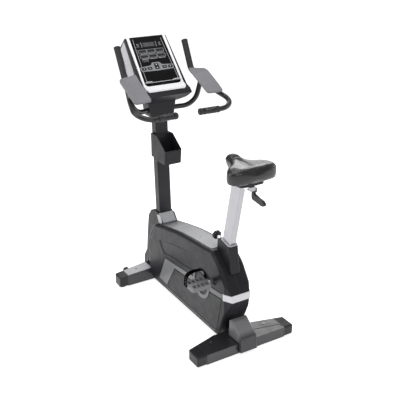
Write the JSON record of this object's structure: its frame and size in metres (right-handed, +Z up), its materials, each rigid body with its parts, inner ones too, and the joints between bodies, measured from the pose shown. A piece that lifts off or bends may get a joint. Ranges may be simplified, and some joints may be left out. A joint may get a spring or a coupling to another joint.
{
  "type": "exercise bike",
  "caption": "Upright exercise bike: enclosed drive housing, sliding seat post with wide saddle, cranks and strapped pedals, mast with cup holder, looped handlebar and tilted console.",
  "frame": {"origin": "on the floor under the middle of the bike", "axes": "+Z up, +X to the rider's left, -Y the way the rider faces"},
  "size_m": [0.592, 1.1753, 1.448],
  "materials": {
    "foot_rubber": "matt",
    "wheel_rubber": "matt",
    "frame_paint": "satin powder coat",
    "end_cap_plastic": "fine texture",
    "bearing_steel": "ground",
    "sleeve_plastic": "smooth",
    "mast_paint": "satin powder coat",
    "silver_plastic": "satin silver",
    "cover_plastic": "fine grain",
    "grey_plastic": "satin",
    "panel_plastic": "fine grain",
    "band_plastic": "satin grey",
    "bar_paint": "satin",
    "pad_foam": "fine skin",
    "grip_rubber": "ribbed",
    "shell_plastic": "satin",
    "bezel_plastic": "pearl white",
    "panel_gloss": "gloss",
    "display_glass": "tinted",
    "belt_rubber": "ribbed",
    "bolt_steel": "zinc",
    "magnet_steel": "coated",
    "bracket_steel": "satin",
    "flywheel_iron": "turned",
    "pulley_plastic": "moulded",
    "crank_paint": "satin",
    "chrome": "polished",
    "pedal_plastic": "textured",
    "strap_rubber": "matt",
    "post_steel": "satin silver",
    "saddle_vinyl": "glossy vinyl",
    "lever_plastic": "grained",
    "knob_plastic": "grained",
    "key_rubber": "matt"
  },
  "bodies": {
    "frame": {"bar_end_caps": "end_cap_plastic", "base_end_caps": "end_cap_plastic", "book_rest": "silver_plastic", "brake_unit": "magnet_steel", "clamp_cover": "cover_plastic", "console_bezel": "bezel_plastic", "console_panel": "panel_gloss", "console_shell": "shell_plastic", "crank_bearings": "bearing_steel", "crank_shell": "frame_paint", "cup_holder": "cover_plastic", "display_window": "display_glass", "drive_belt": "belt_rubber", "elbow_pads": "pad_foam", "flywheel_stand": "bracket_steel", "frame_bolts": "bolt_steel", "front_base_bar": "frame_paint", "front_cover": "cover_plastic", "hand_grips": "grip_rubber", "handlebar_cross": "bar_paint", "handlebar_left": "bar_paint", "handlebar_right": "bar_paint", "levelling_feet": "foot_rubber", "lower_panels": "panel_plastic", "mast": "mast_paint", "mast_collar": "silver_plastic", "rear_base_bar": "frame_paint", "rear_cover": "grey_plastic", "seat_sleeve": "sleeve_plastic", "seat_tube": "frame_paint", "seat_tube_boot": "cover_plastic", "shroud_left": "cover_plastic", "shroud_right": "cover_plastic", "side_bands": "band_plastic", "spine_beam": "frame_paint", "top_strips": "silver_plastic"},
    "crank": {"crank_axle": "bolt_steel", "drive_pulley": "pulley_plastic", "crank_arm_left": "crank_paint", "crank_arm_right": "crank_paint", "pedal_spindles": "chrome"},
    "pedal_left": {"pedal_left": "pedal_plastic", "pedal_strap_left": "strap_rubber"},
    "pedal_right": {"pedal_right": "pedal_plastic", "pedal_strap_right": "strap_rubber"},
    "flywheel": {"flywheel": "flywheel_iron"},
    "seat_post": {"seat_post": "post_steel"},
    "saddle": {"saddle_slider": "chrome", "saddle_pan": "cover_plastic", "saddle_cushion": "saddle_vinyl"},
    "saddle_lever": {"saddle_lever": "lever_plastic"},
    "pull_pin": {"pull_pin": "knob_plastic"},
    "transport_wheel_left": {"transport_wheel_left": "wheel_rubber"},
    "transport_wheel_right": {"transport_wheel_right": "wheel_rubber"},
    "key_level_down": {"key_level_down": "key_rubber"},
    "key_level_up": {"key_level_up": "key_rubber"},
    "key_start": {"key_start": "key_rubber"},
    "key_stop": {"key_stop": "key_rubber"},
    "key_mode": {"key_mode": "key_rubber"},
    "key_enter": {"key_enter": "key_rubber"}
  },
  "joints": [
    {"name": "flywheel_spin", "type": "hinge", "parent": "frame", "child": "flywheel", "pos_m": [0, -0.168, 0.216], "axis": [1, 0, 0], "continuous": true},
    {"name": "crank_spin", "type": "hinge", "parent": "frame", "child": "crank", "pos_m": [0, 0.19, 0.262], "axis": [1, 0, 0], "continuous": true},
    {"name": "pedal_left_spin", "type": "hinge", "parent": "crank", "child": "pedal_left", "pos_m": [0.18, 0.33094, 0.35706], "axis": [1, 0, 0], "continuous": true},
    {"name": "pedal_right_spin", "type": "hinge", "parent": "crank", "child": "pedal_right", "pos_m": [-0.18, 0.04906, 0.16694], "axis": [1, 0, 0], "continuous": true},
    {"name": "seat_height", "type": "slide", "parent": "frame", "child": "seat_post", "axis": [0, 0.2113, 0.9774], "range_m": [-0.154, 0.11]},
    {"name": "saddle_fore_aft", "type": "slide", "parent": "seat_post", "child": "saddle", "axis": [0, 1, 0], "range_m": [-0.02, 0.02]},
    {"name": "lever_turn", "type": "hinge", "parent": "saddle", "child": "saddle_lever", "pos_m": [-0.023, 0.497, 0.884], "axis": [1, 0, 0], "range_deg": [0, 25]},
    {"name": "pull_pin_slide", "type": "slide", "parent": "frame", "child": "pull_pin", "axis": [0, -0.9774, 0.2113], "range_m": [0, 0.012], "stiffness_N_per_m": 700, "springref_m": -0.004},
    {"name": "wheel_left_roll", "type": "hinge", "parent": "frame", "child": "transport_wheel_left", "pos_m": [0.19, -0.507, 0.04], "axis": [1, 0, 0], "continuous": true},
    {"name": "wheel_right_roll", "type": "hinge", "parent": "frame", "child": "transport_wheel_right", "pos_m": [-0.19, -0.507, 0.04], "axis": [1, 0, 0], "continuous": true},
    {"name": "key_level_down_press", "type": "slide", "parent": "frame", "child": "key_level_down", "axis": [0, -0.7455, -0.6665], "range_m": [0, 0.001], "stiffness_N_per_m": 400, "springref_m": -0.0008},
    {"name": "key_level_up_press", "type": "slide", "parent": "frame", "child": "key_level_up", "axis": [0, -0.7455, -0.6665], "range_m": [0, 0.001], "stiffness_N_per_m": 400, "springref_m": -0.0008},
    {"name": "key_start_press", "type": "slide", "parent": "frame", "child": "key_start", "axis": [0, -0.7455, -0.6665], "range_m": [0, 0.001], "stiffness_N_per_m": 400, "springref_m": -0.0008},
    {"name": "key_stop_press", "type": "slide", "parent": "frame", "child": "key_stop", "axis": [0, -0.7455, -0.6665], "range_m": [0, 0.001], "stiffness_N_per_m": 400, "springref_m": -0.0008},
    {"name": "key_mode_press", "type": "slide", "parent": "frame", "child": "key_mode", "axis": [0, -0.7455, -0.6665], "range_m": [0, 0.001], "stiffness_N_per_m": 400, "springref_m": -0.0008},
    {"name": "key_enter_press", "type": "slide", "parent": "frame", "child": "key_enter", "axis": [0, -0.7455, -0.6665], "range_m": [0, 0.001], "stiffness_N_per_m": 400, "springref_m": -0.0008}
  ],
  "couplings": [
    {"joint": "crank_spin", "follows": "flywheel_spin", "ratio": 0.2}
  ]
}
